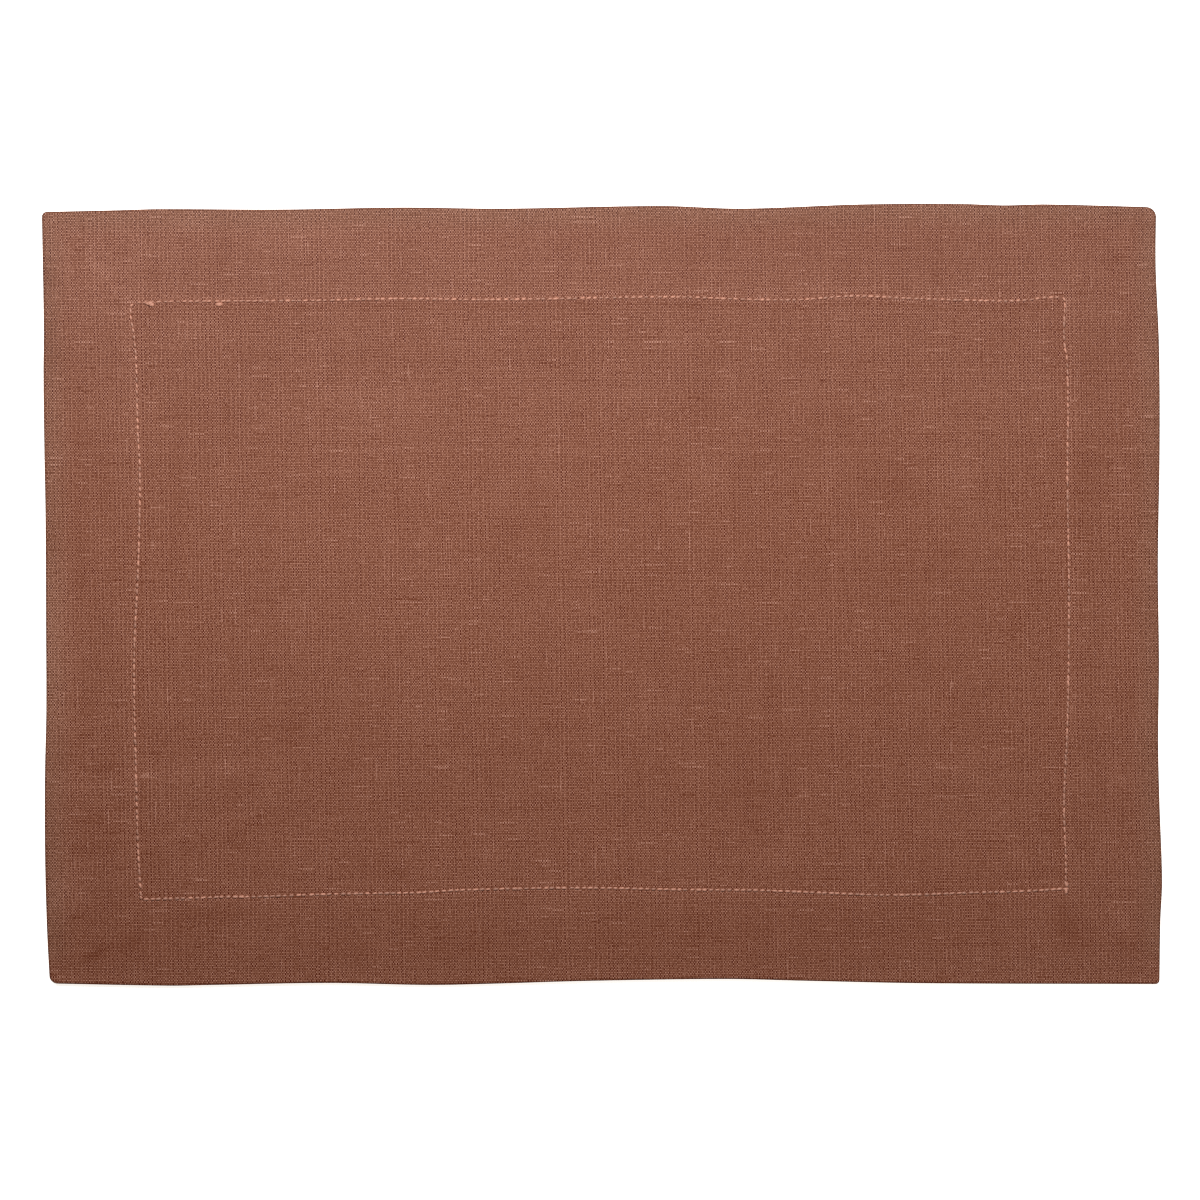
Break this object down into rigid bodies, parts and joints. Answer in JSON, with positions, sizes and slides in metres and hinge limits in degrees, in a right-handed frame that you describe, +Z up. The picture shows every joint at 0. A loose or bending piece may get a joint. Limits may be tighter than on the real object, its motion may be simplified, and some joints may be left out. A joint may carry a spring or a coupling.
{
  "type": "fabric placemat",
  "caption": "Rectangular woven linen placemat with a wide turned hem, mitred corners and a sewn line inside the hem, lying flat.",
  "frame": {"origin": "middle of the underside, on the surface the mat lies on", "axes": "+X along the long sides, +Y along the short sides, +Z up out of the face"},
  "size_m": [0.5024, 0.3506, 0.0028],
  "materials": {
    "linen": "matt plain-woven linen, terracotta brown, slubby yarn"
  },
  "bodies": {
    "root": {"placemat_cloth": "linen"}
  },
  "joints": []
}
